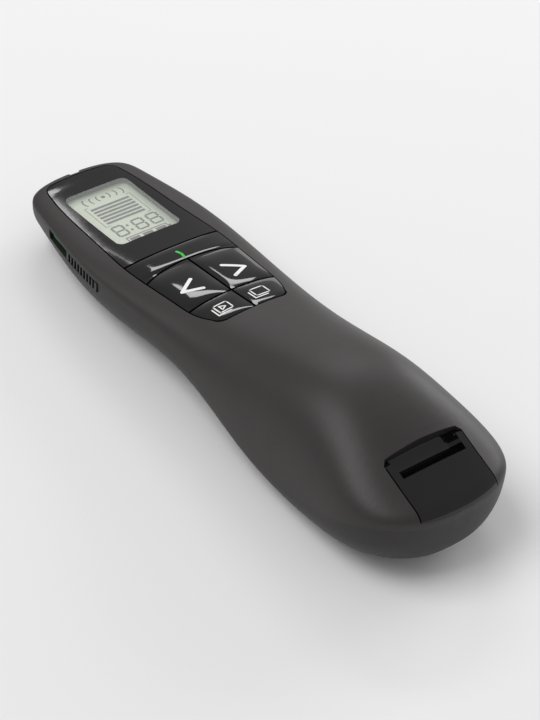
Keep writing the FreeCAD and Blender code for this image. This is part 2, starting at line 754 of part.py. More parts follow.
slot_depth = size("slot_depth")
patch_thick = 0.3
slot_cut = box("slot_cut", "{slot_depth} + 3.0", "{slot_length}", "{slot_high}",
               slot_point(slot_depth / 2 - 1.5, 0, 0), slot_turn)
patch_centre = slot_point(slot_depth + patch_thick / 2, 6.6, 0)
patch_pocket = box("patch_pocket", "%s" % patch_thick, "7.6", "1.9", patch_centre, slot_turn)
nodes["power_mark"] = box("power_mark", "%s" % patch_thick, "7.6", "1.9", patch_centre, slot_turn)
tongue_y = -6.0
slit = box("slit", "6.0", "2.4 + {slider_travel} + 0.4", "1.2",
           slot_point(slot_depth + 1.0, tongue_y + size("slider_travel") / 2, 0), slot_turn)
slot_boss = box("slot_boss", "2.0", "{slot_length} + 3.0", "{slot_high} + 2.0", slot_point(1.2, 0, 0), slot_turn)

slider_rear = -size("slot_length") / 2 + 0.15
slider_depth = slot_depth - size("fit_gap") - size("slider_thick") / 2
slider_plate = box("slider_plate", "{slider_thick}", "{slider_length}", "{slot_high} - 2 * {slider_gap}",
                   slot_point(slider_depth, slider_rear + size("slider_length") / 2, 0), slot_turn)
tip_depth = 4.75
tongue = box("slider_tongue", "%s" % (tip_depth - slider_depth), "2.4", "1.0",
             slot_point((tip_depth + slider_depth) / 2, tongue_y, 0), slot_turn)
notch = box("tongue_notch", "1.4", "{lever_side} + 0.2", "3.0",
            slot_point(tip_depth - 0.3, tongue_y, 0), slot_turn)
grooves = []
rib_depth = slider_depth - size("slider_thick") / 2
for k in range(9):
    groove_y = slider_rear + 1.25 + size("rib_pitch") * k
    grooves.append(box("slider_groove", "0.7", "{rib_pitch} - {rib_width}", "4.0",
                       slot_point(rib_depth, groove_y, 0), slot_turn))
slider_blank = fuse("slider_blank", [slider_plate, tongue])
nodes["power_slider"] = cut("power_slider", slider_blank, fuse("slider_cuts", [notch] + grooves))

lever_point = slot_point(tip_depth - 0.45, tongue_y, 0)
lever_low = size("board_top") + 0.75
lever_high = lever_point[2] + 0.9
nodes["power_lever"] = box("power_lever", "{lever_side}", "{lever_side}", "%s" % round(lever_high - lever_low, 4),
                           (lever_point[0], lever_point[1], (lever_high + lever_low) / 2))
switch_y = lever_point[1] + size("slider_travel") / 2
switch_x = lever_point[0] + run_x * size("slider_travel") / 2
switch_box = box("power_switch_box", "{power_switch_width}", "{power_switch_length}", "{power_switch_high}",
                 (switch_x, switch_y, size("board_top") + size("power_switch_high") / 2))
switch_groove = box("power_switch_groove", "1.9", "{slider_travel} + {lever_side} + 0.5", "2.0",
                    (switch_x, switch_y, size("board_top") + 1.15))
nodes["power_switch"] = cut("power_switch", switch_box, switch_groove)

# Timer keys on the right side, each with its own switch under the board's tab
side_names = ("timer_minus", "timer_plus", "timer_start")
side_holes = []
side_cases = []
key_z = size("side_key_height")
for k, side_name in enumerate(side_names):
    key_y = size("side_key_middle") + (k - 1) * size("side_key_pitch")
    face_x = skin_half(key_y, key_z) + size("side_key_proud")
    back_x = 12.9
    cap = box(side_name + "_cap", "%s" % round(face_x - back_x, 4), "{side_key_length}", "{side_key_high}",
              ((face_x + back_x) / 2, key_y, key_z))
    flange = box(side_name + "_flange", "0.5", "{side_key_pitch} - 0.3", "{side_key_high} + 0.6",
                 (back_x + 0.25, key_y, key_z))
    nodes[side_name + "_key"] = fuse(side_name + "_key", [cap, flange])
    side_holes.append(box(side_name + "_hole", "6.0", "{side_key_length} + 2 * {side_key_gap}",
                          "{side_key_high} + 2 * {side_key_gap}", (face_x, key_y, key_z)))
    case_x = 10.9
    case = box(side_name + "_case", "2.2", "3.8", "3.0", (case_x, key_y, key_z))
    well = rod(side_name + "_well", "0.7 + {fit_gap}", "2.0", (case_x + 0.0, key_y, key_z), X_AXIS)
    side_cases.append(cut(side_name + "_switch", case, well))
    nodes[side_name + "_plunger"] = rod(side_name + "_plunger", "0.7", "%s" % (back_x - case_x - 0.6),
                                        (case_x + 0.6, key_y, key_z), X_AXIS)
nodes["side_switches"] = group("side_switches", side_cases)

# Stored receiver: a stick whose tail end completes the body's skin
receiver_z = size("receiver_bottom")
receiver_top = receiver_z + size("receiver_thick")
half_receiver = size("receiver_half_width")
recess_y = size("recess_front")
profile = [(size("receiver_front"), receiver_z), (size("receiver_front"), receiver_top),
           (recess_y - 1.6, receiver_top), (recess_y - 1.6, receiver_top + 9), (-67.0, receiver_top + 9),
           (-67.0, receiver_z)]
stick = side_prism("receiver_stick", profile, -half_receiver, half_receiver)
stick_blank = common("receiver_blank", [stick, outer])
pit = rod("receiver_pit", "{pit_radius}", "15.2", (-7.6, size("pit_place"), size("pit_height")), X_AXIS)
cavity = block("receiver_cavity", (-7.4, -47.0, receiver_z + 1.0), (7.4, -30.7, receiver_top - 1.0))
plug_z = receiver_z + 0.1 + size("plug_high") / 2
nodes["receiver_body"] = cut("receiver_body", stick_blank, fuse("receiver_cuts", [pit, cavity]))
board_z = receiver_z + 1.4
nodes["receiver_board"] = box("receiver_board", "14.0", "15.4", "0.8", (0, -38.9, board_z))
plug_y = size("receiver_front") + size("plug_length") / 2
plug_outside = box("plug_outside", "{plug_width}", "{plug_length}", "{plug_high}", (0, plug_y, plug_z))
plug_inside = box("plug_inside", "{plug_width} - 2 * {plug_sheet}", "{plug_length} + 2",
                  "{plug_high} - 2 * {plug_sheet}", (0, plug_y, plug_z))
nodes["plug_sleeve"] = cut("plug_sleeve", plug_outside, plug_inside)
tongue_high = 1.8
tongue_z = plug_z - size("plug_high") / 2 + size("plug_sheet") + tongue_high / 2
nodes["plug_tongue"] = box("plug_tongue", "{plug_width} - 2 * {plug_sheet}", "{plug_length} - 0.6",
                           "%s" % tongue_high, (0, plug_y - 0.3, tongue_z))
strips = [box("plug_strip", "1.0", "9.0", "0.15", (x, plug_y + 1.0, tongue_z + tongue_high / 2 + 0.075))
          for x in (-3.5, -1.0, 1.0, 3.5)]
nodes["plug_contacts"] = group("plug_contacts", strips)

# Screws and their bosses
screw_spots = [(-12.9, 26.4), (12.9, 26.4), (-12.5, -2.2), (12.5, -2.2)]
seat = size("head_seat")
screws = []
lower_bosses = []
upper_bosses = []
head_wells = []
shank_wells = []
for x, y in screw_spots:
    shank = rod("screw_shank", "{screw_radius}", "{screw_length}", (x, y, seat))
    head = rod("screw_head", "{screw_head_radius}", "{screw_head}", (x, y, seat - size("screw_head")))
    screws.append(fuse("case_screw", [shank, head]))
    lower_bosses.append(rod("lower_boss", "{boss_radius}", "{boss_split}", (x, y, 0)))
    upper_bosses.append(rod("upper_boss", "{boss_radius}", "14.0", (x, y, size("boss_split"))))
    head_wells.append(rod("head_well", "{screw_head_radius} + {fit_gap}", "12.0", (x, y, seat - 12.0)))
    shank_wells.append(rod("shank_well", "{screw_radius} + {fit_gap}", "{screw_length} + 0.3", (x, y, seat)))
nodes["case_screws"] = group("case_screws", screws)

# Bottom shell
lower_boss_set = common("lower_boss_set", [fuse("lower_bosses", lower_bosses), outer])
walls = []
cell_wall = size("cell_wall")
for y in (bay_rear - contact - cell_wall / 2, bay_front + contact + cell_wall / 2):
    walls.append(block("cell_end_wall", (-17.5, y - cell_wall / 2, 0.0), (17.5, y + cell_wall / 2, 15.4)))
standoffs = [rod("standoff", "1.3", "{board_top} - {board_thick}", (x, y, 0)) for x in (-8.4, 8.4) for y in (0.4, 43.6)]
saddles = [block("laser_saddle", (-3.2, y, 0), (3.2, y + 1.6, laser_z)) for y in (49.6, 55.0)]
saddles.append(block("motor_saddle", (motor_x - 2.6, motor_rear + 1.5, 0), (motor_x + 2.6, motor_front - 1.5, motor_z)))
slot_boss_kept = common("slot_boss_kept", [slot_boss, below_seam])
inside_parts = common("inside_parts", [fuse("inside_set", walls + standoffs + saddles + [slot_boss_kept]), outer,
                                       below_seam])
bottom_blank = fuse("bottom_blank", [bottom_skin, lower_boss_set, inside_parts])
laser_space = rod("laser_space", "{laser_radius} + {fit_gap}", "{laser_length} + 0.2",
                  (0, size("laser_rear") - 0.1, laser_z), Y_AXIS)
motor_space = rod("motor_space", "{motor_radius} + {fit_gap}", "{motor_length} + 0.2",
                  (motor_x, motor_rear - 0.1, motor_z), Y_AXIS)
aperture = rod("aperture", "{aperture_radius} + {fit_gap}", "9.0", (0, window_rear - 1.0, laser_z), Y_AXIS)
nose = size("body_length") / 2
nose_notch = prism("nose_notch", [(-1.2, nose - 1.1), (1.2, nose - 1.1), (2.0, nose + 1.0), (-2.0, nose + 1.0)],
                   laser_z, 20.0)
side_pocket = block("side_pocket", (9.75, 28.9, 4.9), (13.6, 43.9, 9.2))
door_gap = common("door_gap", [shell_skin, door_prism("door_space", size("seam_gap"))])
bottom_cuts = fuse("bottom_cuts", [door_gap] + head_wells + shank_wells + side_holes
                   + [laser_space, motor_space, aperture, slot_cut, slit, patch_pocket, side_pocket])
bottom_whole = cut("bottom_whole", bottom_blank, bottom_cuts)
bottom_notched = cut("bottom_notched", bottom_whole, nose_notch)
nodes["bottom_shell"] = cut("bottom_rested", bottom_notched, flat)

# Top shell, with the bay that holds the receiver
top_skin = common("top_skin", [shell_skin, above_seam])
side_gap = half_receiver + size("receiver_gap")
bay_stop = size("receiver_front") + size("plug_length") + 0.3
floor_top = receiver_z - size("fit_gap")
bay_outside = block("bay_outside", (-side_gap - size("bay_wall"), -66.0, floor_top - size("bay_floor")),
                    (side_gap + size("bay_wall"), bay_stop + size("bay_wall"), 40.0))
bay_inside = block("bay_inside", (-side_gap, -70.0, floor_top), (side_gap, bay_stop, 45.0))
bay_walls = common("bay_walls", [cut("bay_tub", bay_outside, bay_inside), outer])
upper_boss_set = common("upper_boss_set", [fuse("upper_bosses", upper_bosses), outer])
top_blank = fuse("top_blank", [top_skin, bay_walls, upper_boss_set])
recess = prism("tail_recess", [(-side_gap, -70.0), (side_gap, -70.0), (side_gap, recess_y - 1.3),
                               (side_gap - 0.9, recess_y - 0.3), (0, recess_y),
                               (-side_gap + 0.9, recess_y - 0.3), (-side_gap, recess_y - 1.3)],
               floor_top, 45.0)
stick_space = block("stick_space", (-side_gap, -70.0, floor_top),
                    (side_gap, size("receiver_front") + 0.1, receiver_top + 0.1))
plug_space = block("plug_space", (-6.3, size("receiver_front"), floor_top),
                   (6.3, bay_stop, plug_z + size("plug_high") / 2 + 0.2))
top_cuts = fuse("top_cuts", [opening, recess, nose_notch, stick_space, plug_space] + shank_wells)
nodes["top_shell"] = cut("top_shell", top_blank, top_cuts)

doc.recompute()

# Check every object, then write each piece to its own file
for item in doc.Objects:
    if "Invalid" in item.State or "Error" in item.State:
        raise RuntimeError("%s did not build: %s" % (item.Name, item.State))
for node, item in nodes.items():
    if item.Shape.isNull() or not item.Shape.isValid():
        raise RuntimeError("%s has a bad shape" % node)
    item.Label = node

os.makedirs("parts", exist_ok=True)
for node, item in nodes.items():
    item.Shape.exportStep(os.path.join("parts", node + ".step"))
print("%d pieces written" % len(nodes))
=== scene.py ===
import json
import logging
import math
from dataclasses import dataclass, field
from enum import Enum

import bpy
from mathutils import Matrix, Vector

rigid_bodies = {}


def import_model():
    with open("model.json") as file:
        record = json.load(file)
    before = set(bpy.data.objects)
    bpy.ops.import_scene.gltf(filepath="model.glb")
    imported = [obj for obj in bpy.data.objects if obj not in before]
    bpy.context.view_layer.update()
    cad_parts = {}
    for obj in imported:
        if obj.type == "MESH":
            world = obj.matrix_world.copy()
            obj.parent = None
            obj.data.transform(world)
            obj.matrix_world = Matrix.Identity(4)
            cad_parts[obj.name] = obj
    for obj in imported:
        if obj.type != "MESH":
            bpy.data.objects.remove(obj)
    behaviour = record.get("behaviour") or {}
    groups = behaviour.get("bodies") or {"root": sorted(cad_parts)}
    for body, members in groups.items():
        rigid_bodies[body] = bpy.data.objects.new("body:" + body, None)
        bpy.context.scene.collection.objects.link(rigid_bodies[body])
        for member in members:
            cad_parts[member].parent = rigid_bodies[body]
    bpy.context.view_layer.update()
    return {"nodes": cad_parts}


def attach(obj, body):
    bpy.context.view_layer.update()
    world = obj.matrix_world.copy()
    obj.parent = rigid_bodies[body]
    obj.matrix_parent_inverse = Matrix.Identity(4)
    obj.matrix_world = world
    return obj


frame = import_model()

MM = 0.001
GRAIN_RELIEF = 0.06 * MM
ABOVE_PART = 50 * MM
LOG = logging.getLogger("clicker")


class Height(Enum):
    """How far a printed mark stands over the face that carries it, in millimetres."""

    PRINT = 0.03
    SEGMENT = 0.02


def linear(hex_colour: str) -> tuple[float, float, float, float]:
    """Turn an sRGB hex colour to linear values.

    Args:
        hex_colour: Six hex digits, with or without a leading mark.

    Returns:
        Red, green, blue and an alpha of one.
    """
    digits = hex_colour.lstrip("#")
    parts = [int(digits[k:k + 2], 16) / 255 for k in (0, 2, 4)]
    red, green, blue = [p / 12.92 if p <= 0.04045 else ((p + 0.055) / 1.055) ** 2.4 for p in parts]
    return red, green, blue, 1.0


def add_node(tree: bpy.types.NodeTree, kind: str, settings: dict | None = None,
             links: dict | None = None) -> bpy.types.Node:
    """Add a node with its settings and links.

    Args:
        tree: The node tree that takes it.
        kind: Blender's name for the node's type.
        settings: Values for the node's own properties, or for its sockets by name.
        links: Output sockets for the node's input sockets, by name or number.

    Returns:
        The node.
    """
    node = tree.nodes.new(kind)
    for name, value in (settings or {}).items():
        if name in node.inputs:
            node.inputs[name].default_value = value
        else:
            setattr(node, name, value)
    for name, source in (links or {}).items():
        tree.links.new(source, node.inputs[name])
    return node


def blank_material(name: str) -> tuple[bpy.types.Material, bpy.types.NodeTree, bpy.types.Node]:
    """Make an empty material with its texture coordinates.

    Args:
        name: The material's name.

    Returns:
        The material, its node tree and the coordinates' node.
    """
    material = bpy.data.materials.new(name)
    material.use_nodes = True
    tree = material.node_tree
    tree.nodes.clear()
    return material, tree, add_node(tree, "ShaderNodeTexCoord")


def two_tone(tree: bpy.types.NodeTree, place: bpy.types.Node, tones: tuple[str, str],
             patch_mm: float, detail: float) -> bpy.types.NodeSocket:
    """Blend two colours in slow patches.

    Args:
        tree: The node tree that takes it.
        place: The coordinates' node.
        tones: The two sRGB hex colours.
        patch_mm: The size of the patches in millimetres.
        detail: The noise's detail.

    Returns:
        The socket that gives the colour.
    """
    tone = add_node(tree, "ShaderNodeTexNoise", {"Scale": 1 / (patch_mm * MM), "Detail": detail},
                    {"Vector": place.outputs["Object"]})
    mix = add_node(tree, "ShaderNodeMix", {"data_type": "RGBA"})
    mix.inputs[6].default_value = linear(tones[0])
    mix.inputs[7].default_value = linear(tones[1])
    tree.links.new(tone.outputs["Fac"], mix.inputs[0])
    return mix.outputs[2]


@dataclass(frozen=True)
class Finish:
    """One surface finish, drawn with a fine grain and a slow change of tone.

    Moulded, painted and plated pieces differ in colour, gloss and the size of their grain.
    """

    name: str
    colour: str
    shade: str
    roughness: float
    grain_mm: float = 0.35
    grain_depth: float = 0.06
    metallic: float = 0.0
    tone_mm: float = 9.0
    roughness_spread: float = 0.06

    def make(self) -> bpy.types.Material:
        """Build the material.

        Returns:
            The material, made once and then found by its name.
        """
        found = bpy.data.materials.get(self.name)
        if found:
            return found
        material, tree, place = blank_material(self.name)
        colour = two_tone(tree, place, (self.colour, self.shade), self.tone_mm, 3.0)
        grain = add_node(tree, "ShaderNodeTexNoise", {"Scale": 1 / (self.grain_mm * MM), "Detail": 2.0},
                         {"Vector": place.outputs["Object"]})
        gloss = add_node(tree, "ShaderNodeMapRange",
                         {"To Min": max(self.roughness - self.roughness_spread, 0.02),
                          "To Max": self.roughness + self.roughness_spread},
                         {"Value": grain.outputs["Fac"]})
        bump = add_node(tree, "ShaderNodeBump", {"Strength": self.grain_depth, "Distance": GRAIN_RELIEF},
                        {"Height": grain.outputs["Fac"]})
        shader = add_node(tree, "ShaderNodeBsdfPrincipled", {"Metallic": self.metallic},
                          {"Base Color": colour, "Roughness": gloss.outputs["Result"],
                           "Normal": bump.outputs["Normal"]})
        add_node(tree, "ShaderNodeOutputMaterial", {}, {"Surface": shader.outputs["BSDF"]})
        return material


@dataclass(frozen=True)
class PillowGloss:
    """Piano-black moulded ABS on a key whose face swells towards its middle.

    The face rolls off towards the key's edges, which is what bends the lamps' reflections there.
    """

    name: str
    centre: tuple[float, float]
    half: tuple[float, float]
    swell_mm: float = 0.55
    colour: str = "0b0a0b"
    shade: str = "080708"
    roughness: float = 0.06
    tone_mm: float = 9.0

    def make(self) -> bpy.types.Material:
        """Build the material.

        Returns:
            The material, made once and then found by its name.
        """
        found = bpy.data.materials.get(self.name)
        if found:
            return found
        material, tree, place = blank_material(self.name)
        split = add_node(tree, "ShaderNodeSeparateXYZ", {}, {"Vector": place.outputs["Object"]})
        falls = []
        for axis in (0, 1):
            part = add_node(tree, "ShaderNodeMath", {"operation": "MULTIPLY_ADD"}, {0: split.outputs[axis]})
            part.inputs[1].default_value = 1 / (self.half[axis] * MM)
            part.inputs[2].default_value = -self.centre[axis] / self.half[axis]
            square = add_node(tree, "ShaderNodeMath", {"operation": "MULTIPLY"},
                              {0: part.outputs[0], 1: part.outputs[0]})
            fourth = add_node(tree, "ShaderNodeMath", {"operation": "MULTIPLY"},
                              {0: square.outputs[0], 1: square.outputs[0]})
            fall = add_node(tree, "ShaderNodeMath", {"operation": "SUBTRACT"}, {1: fourth.outputs[0]})
            fall.inputs[0].default_value = 1.0
            falls.append(fall)
        height = add_node(tree, "ShaderNodeMath", {"operation": "MULTIPLY", "use_clamp": True},
                          {0: falls[0].outputs[0], 1: falls[1].outputs[0]})
        bump = add_node(tree, "ShaderNodeBump", {"Strength": 1.0, "Distance": self.swell_mm * MM},
                        {"Height": height.outputs[0]})
        colour = two_tone(tree, place, (self.colour, self.shade), self.tone_mm, 2.0)
        shader = add_node(tree, "ShaderNodeBsdfPrincipled", {"Roughness": self.roughness},
                          {"Base Color": colour, "Normal": bump.outputs["Normal"]})
        add_node(tree, "ShaderNodeOutputMaterial", {}, {"Surface": shader.outputs["BSDF"]})
        return material


@dataclass(frozen=True)
class ClearSheet:
    """Clear moulded polycarbonate: a thin sheet that shows what lies under it and shines on top."""

    name: str
    tint: str
    alpha: float
    roughness: float = 0.03
    roughness_spread: float = 0.02
    haze_mm: float = 6.0

    def make(self) -> bpy.types.Material:
        """Build the material.

        Returns:
            The material, made once and then found by its name.
        """
        found = bpy.data.materials.get(self.name)
        if found:
            return found
        material, tree, place = blank_material(self.name)
        haze = add_node(tree, "ShaderNodeTexNoise", {"Scale": 1 / (self.haze_mm * MM)},
                        {"Vector": place.outputs["Object"]})
        gloss = add_node(tree, "ShaderNodeMapRange",
                         {"To Min": self.roughness, "To Max": self.roughness + self.roughness_spread},
                         {"Value": haze.outputs["Fac"]})
        shader = add_node(tree, "ShaderNodeBsdfPrincipled",
                          {"Base Color": linear(self.tint), "Alpha": self.alpha},
                          {"Roughness": gloss.outputs["Result"]})
        add_node(tree, "ShaderNodeOutputMaterial", {}, {"Surface": shader.outputs["BSDF"]})
        return material


# Soft-touch lacquer on moulded ABS: dark, warm and matt, with a faint tooth
SOFT_TOUCH = Finish("soft_touch_lacquer", "292524", "231f1e", 0.48, 0.28, 0.10)
# The same lacquer made darker for the bottom shell and battery door: painted shade for the underside
SOFT_TOUCH_PAINTED_SHADE = Finish("soft_touch_painted_shade", "1f1b1a", "1a1716", 0.48, 0.28, 0.10)
# Piano-black moulded ABS: deep and mirror smooth
PIANO_BLACK = Finish("piano_black_abs", "0b0a0b", "080708", 0.07, 1.2, 0.01, roughness_spread=0.02)
# Pad-printed ink, dense and slightly matt
WHITE_INK = Finish("white_pad_print", "f4f4f2", "ececea", 0.45)
GREEN_INK = Finish("green_pad_print", "2fd03e", "2ac038", 0.45)
GREEN_LABEL = Finish("green_label", "22b455", "1da34c", 0.40)
# Reflective display cell: pale grey-green, with dark segments
DISPLAY_GREY = Finish("display_grey_green", "cdd5c0", "c6ceb9", 0.30, 0.4, 0.02, tone_mm=20.0)
DISPLAY_DARK = Finish("display_segment", "15140f", "12110d", 0.40)
# Moulded nylon and acetal, dull black
NYLON = Finish("moulded_nylon", "1f1d1d", "191717", 0.42, 0.3, 0.08)
PALE_TRAY = Finish("white_tray_abs", "e9e9e4", "dfdfda", 0.5)
SOLDER_MASK = Finish("green_solder_mask", "0f5a33", "0c4c2b", 0.3, 0.5, 0.05, tone_mm=3.0)
NICKEL = Finish("nickel_plate", "c9c8c4", "b9b8b4", 0.25, 0.5, 0.04, metallic=1.0)
BRASS = Finish("turned_brass", "c9a45a", "b8934b", 0.3, 0.4, 0.05, metallic=1.0)
GOLD_PLATE = Finish("gold_plate", "e0b860", "d4aa52", 0.2, 0.4, 0.03, metallic=1.0)
STEEL = Finish("stamped_steel", "a9a9aa", "98989a", 0.32, 0.6, 0.06, metallic=1.0)
CELL_WRAP = Finish("printed_cell_sleeve", "23262b", "1c1f24", 0.25, 1.0, 0.02)
ELASTOMER = Finish("striped_elastomer", "6b6b70", "2a2a2d", 0.6, 0.2, 0.1, tone_mm=0.3)
CLEAR_LENS = ClearSheet("clear_display_lens", "eef2ee", 0.16)
RED_WINDOW = ClearSheet("dark_red_window", "3a0508", 0.85)


def dress(node_name: str, finish: Finish | PillowGloss | ClearSheet) -> None:
    """Give a CAD node a finish.

    Args:
        node_name: The node's name.
        finish: Its finish.
    """
    material = finish.make()
    for slot in frame["nodes"][node_name].material_slots:
        slot.material = material
    LOG.info("dressed %s in %s", node_name, material.name)


def deselect() -> None:
    """Leave nothing selected."""
    bpy.ops.object.select_all(action="DESELECT")


@dataclass
class Mark:
    """A printed mark made of straight strokes, laid on the face of a CAD node."""

    name: str
    carrier: str
    body: str
    finish: Finish
    width: float
    height: Height = Height.PRINT
    span_mm: float = 0.6
    objects: list = field(default_factory=list)

    def stroke(self, start: tuple[float, float], stop: tuple[float, float],
               width: float | None = None) -> None:
        """Add one straight stroke.

        Args:
            start: Its start (x, y) in millimetres.
            stop: Its end (x, y) in millimetres.
            width: Its width, where it differs from the mark's own.
        """
        run = Vector((stop[0] - start[0], stop[1] - start[1]))
        centre = ((start[0] + stop[0]) / 2 * MM, (start[1] + stop[1]) / 2 * MM, ABOVE_PART)
        deselect()
        bpy.ops.mesh.primitive_plane_add(size=1.0, location=centre,
                                         rotation=(0, 0, math.atan2(run.y, run.x)))
        plane = bpy.context.object
        plane.scale = (run.length * MM, (width or self.width) * MM, 1.0)
        bpy.ops.object.transform_apply(location=True, rotation=True, scale=True)
        bpy.ops.object.mode_set(mode="EDIT")
        bpy.ops.mesh.subdivide(number_cuts=max(2, int(run.length / self.span_mm)))
        bpy.ops.object.mode_set(mode="OBJECT")
        self.objects.append(plane)

    def line(self, points: list[tuple[float, float]], closed: bool = False) -> None:
        """Add strokes along a line of points, with round joints.

        Args:
            points: The line's (x, y) points in millimetres.
            closed: True to join the last point to the first.
        """
        loop = points + points[:1] if closed else points
        for start, stop in zip(loop, loop[1:]):
            self.stroke(start, stop)
        for x, y in points:
            self.dot(x, y, self.width / 2)

    def dot(self, x: float, y: float, radius: float) -> None:
        """Add a round dot.

        Args:
            x: Its centre across, in millimetres.
            y: Its centre along, in millimetres.
            radius: Its radius in millimetres.
        """
        deselect()
        bpy.ops.mesh.primitive_circle_add(vertices=16, radius=radius * MM, fill_type="TRIFAN",
                                          location=(x * MM, y * MM, ABOVE_PART))
        bpy.ops.object.transform_apply(location=True, rotation=True, scale=True)
        self.objects.append(bpy.context.object)

    def lay(self) -> bpy.types.Object:
        """Join the strokes and lay them on the carrier, lifted a little above its face.

        Returns:
            The finished mark.
        """
        deselect()
        for item in self.objects:
            item.select_set(True)
        bpy.context.view_layer.objects.active = self.objects[0]
        bpy.ops.object.join()
        mark = bpy.context.object
        mark.name = self.name
        bpy.ops.object.origin_set(type="ORIGIN_CURSOR")
        wrap = mark.modifiers.new("lay_on_face", "SHRINKWRAP")
        wrap.target = frame["nodes"][self.carrier]
        wrap.wrap_method = "PROJECT"
        wrap.use_project_z = True
        wrap.use_negative_direction = True
        wrap.use_positive_direction = False
        wrap.offset = self.height.value * MM
        bpy.ops.object.modifier_apply(modifier=wrap.name)
        mark.data.materials.clear()
        mark.data.materials.append(self.finish.make())
        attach(mark, self.body)
        LOG.info("laid %s on %s", self.name, self.carrier)
        return mark


def arc(centre: tuple[float, float], radius: float, first: float, last: float, steps: int = 8) -> list:
    """Points along an arc.

    Args:
        centre: Its centre (x, y) in millimetres.
        radius: Its radius in millimetres.
        first: The angle it starts at, in degrees.
        last: The angle it ends at, in degrees.
        steps: The number of spans.

    Returns:
        The (x, y) points.
    """
    turns = [math.radians(first + (last - first) * k / steps) for k in range(steps + 1)]
    return [(centre[0] + radius * math.cos(t), centre[1] + radius * math.sin(t)) for t in turns]


def rounded_frame(low: tuple[float, float], high: tuple[float, float], corner: float) -> list:
    """Points round a rectangle with rounded corners.

    Args:
        low: Its lowest corner (x, y) in millimetres.
        high: Its highest corner (x, y) in millimetres.
        corner: The corners' radius in millimetres.

    Returns:
        The (x, y) points of the closed line.
    """
    points = arc((high[0] - corner, high[1] - corner), corner, 0, 90, 4)
    points += arc((low[0] + corner, high[1] - corner), corner, 90, 180, 4)
    points += arc((low[0] + corner, low[1] + corner), corner, 180, 270, 4)
    points += arc((high[0] - corner, low[1] + corner), corner, 270, 360, 4)
    return points


@dataclass
class Housing:
    """The two lacquered shells, the battery door and their screws."""

    shells: tuple[str, ...] = ("top_shell",)
    shaded_underside_parts: tuple[str, ...] = ("bottom_shell", "battery_door")

    def build(self) -> None:
        """Dress the shells, door and screws."""
        for name in self.shells:
            dress(name, SOFT_TOUCH)
        # The bottom shell and battery door get the darker copy of the lacquer: painted shade for the
        # underside
        for name in self.shaded_underside_parts:
            dress(name, SOFT_TOUCH_PAINTED_SHADE)
        dress("case_screws", STEEL)


@dataclass
class Keypad:
    """The five gloss keys in the fascia's opening, and the symbols printed on them."""

    laser: PillowGloss = PillowGloss("laser_key_gloss", (0.0, 25.2), (11.6, 3.1), 0.35)
    previous: PillowGloss = PillowGloss("previous_key_gloss", (-5.8, 14.5), (5.6, 7.0))
    ahead: PillowGloss = PillowGloss("next_key_gloss", (5.8, 14.5), (5.6, 7.0))
    slideshow: PillowGloss = PillowGloss("slideshow_key_gloss", (-5.3, 3.7), (5.4, 3.8), 0.4)
    blank: PillowGloss = PillowGloss("blank_screen_key_gloss", (5.3, 3.7), (5.4, 3.8), 0.4)

    def build(self) -> None:
        """Dress the keys, and print their symbols."""
        dress("laser_key", self.laser)
        dress("previous_key", self.previous)
        dress("next_key", self.ahead)
        dress("slideshow_key", self.slideshow)
        dress("blank_screen_key", self.blank)
        dress("fascia_panel", PIANO_BLACK)
        self.print_arrows()
        self.print_laser()
        self.print_screens()

    def print_arrows(self) -> None:
        """Print the previous and next chevrons."""
        back = Mark("previous_symbol", "previous_key", "previous_key", WHITE_INK, 0.8)
        back.line([(-4.1, 16.0), (-8.0, 13.4), (-3.9, 11.8)])
        back.lay()
        ahead = Mark("next_symbol", "next_key", "next_key", WHITE_INK, 0.8)
        ahead.line([(4.0, 16.3), (7.8, 13.5), (4.0, 11.6)])
        ahead.lay()

    def print_laser(self) -> None:
        """Print the green line on the laser key."""
        mark = Mark("laser_symbol", "laser_key", "laser_key", GREEN_INK, 0.6)
        mark.line([(-0.25, 26.0), (0.05, 25.1), (0.05, 24.3), (-0.2, 23.5)])
        mark.lay()

    def print_screens(self) -> None:
        """Print the slideshow and blank-screen frames."""
        show = Mark("slideshow_symbol", "slideshow_key", "slideshow_key", WHITE_INK, 0.3)
        show.line(rounded_frame((-6.6, 2.5), (-3.4, 5.1), 0.4), closed=True)
        show.line([(-7.3, 4.4), (-7.3, 1.9), (-4.3, 1.9)])
        show.line([(-5.6, 4.5), (-4.4, 3.8), (-5.6, 3.1)], closed=True)
        show.lay()
        blank = Mark("blank_symbol", "blank_screen_key", "blank_screen_key", WHITE_INK, 0.3)
        blank.line(rounded_frame((2.6, 2.7), (5.9, 5.3), 0.4), closed=True)
        blank.line([(1.9, 4.6), (1.9, 2.1), (5.0, 2.1)])
        blank.lay()


